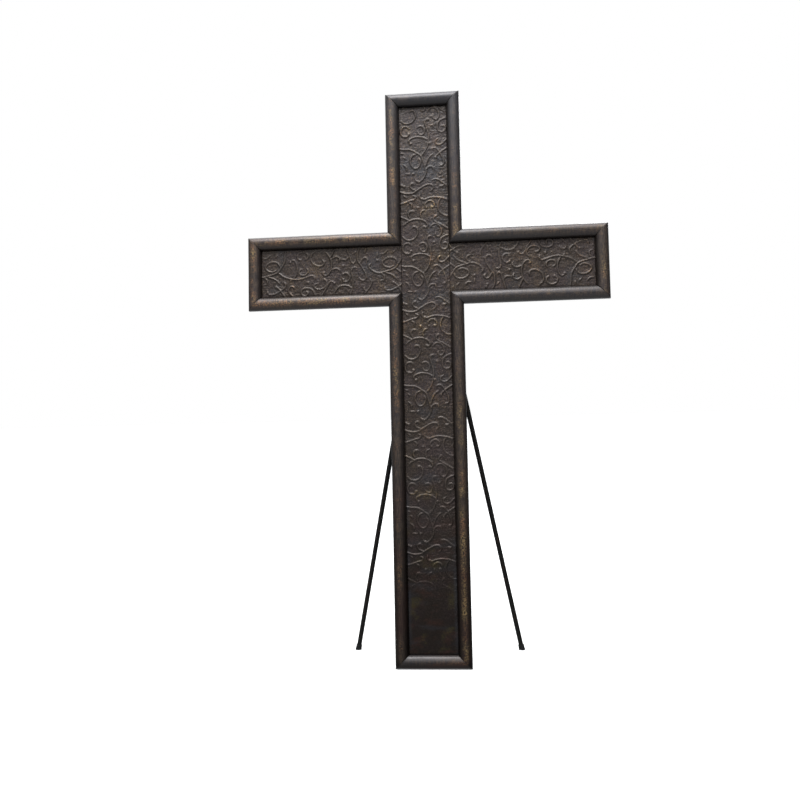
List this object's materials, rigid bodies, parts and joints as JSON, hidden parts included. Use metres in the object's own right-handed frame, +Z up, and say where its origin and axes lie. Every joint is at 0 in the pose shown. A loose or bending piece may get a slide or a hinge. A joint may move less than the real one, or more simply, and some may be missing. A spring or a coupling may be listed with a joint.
{
  "type": "free-standing memorial cross",
  "caption": "Tall Latin cross of bronze-painted iron: mitred half-round rails around sunk sheets embossed with a vine scroll, leaning back on two round rear legs.",
  "frame": {"origin": "middle of the level face under the bottom rail, on the ground", "axes": "+Z up, the front faces -Y, +X to the right as the front is seen; the upright leans back 4 degrees toward +Y"},
  "size_m": [0.954, 0.202, 1.5093],
  "materials": {
    "rail_bronze": "dark bronze-brown paint with ochre gold rubbed along the crowns and into patches, semi-gloss",
    "embossed_bronze": "dark bronze-brown paint, dull gold rubbed on the raised vines, duller toward the ground",
    "back_paint": "plain dark brown-black paint, satin",
    "leg_black": "black paint on round bar, satin, slightly uneven",
    "tip_rubber": "matt black rubber"
  },
  "bodies": {
    "root": {"rail_bottom": "rail_bronze", "rail_stem_lower_left": "rail_bronze", "rail_stem_lower_right": "rail_bronze", "rail_arm_left_bottom": "rail_bronze", "rail_arm_left_end": "rail_bronze", "rail_arm_left_top": "rail_bronze", "rail_arm_right_bottom": "rail_bronze", "rail_arm_right_end": "rail_bronze", "rail_arm_right_top": "rail_bronze", "rail_stem_upper_left": "rail_bronze", "rail_stem_upper_right": "rail_bronze", "rail_top": "rail_bronze", "panel_stem": "embossed_bronze", "panel_arm_left": "embossed_bronze", "panel_arm_right": "embossed_bronze", "back_stem": "back_paint", "back_arm_left": "back_paint", "back_arm_right": "back_paint", "leg_bracket": "leg_black", "leg_left": "leg_black", "leg_right": "leg_black", "foot_left": "tip_rubber", "foot_right": "tip_rubber"}
  },
  "joints": []
}
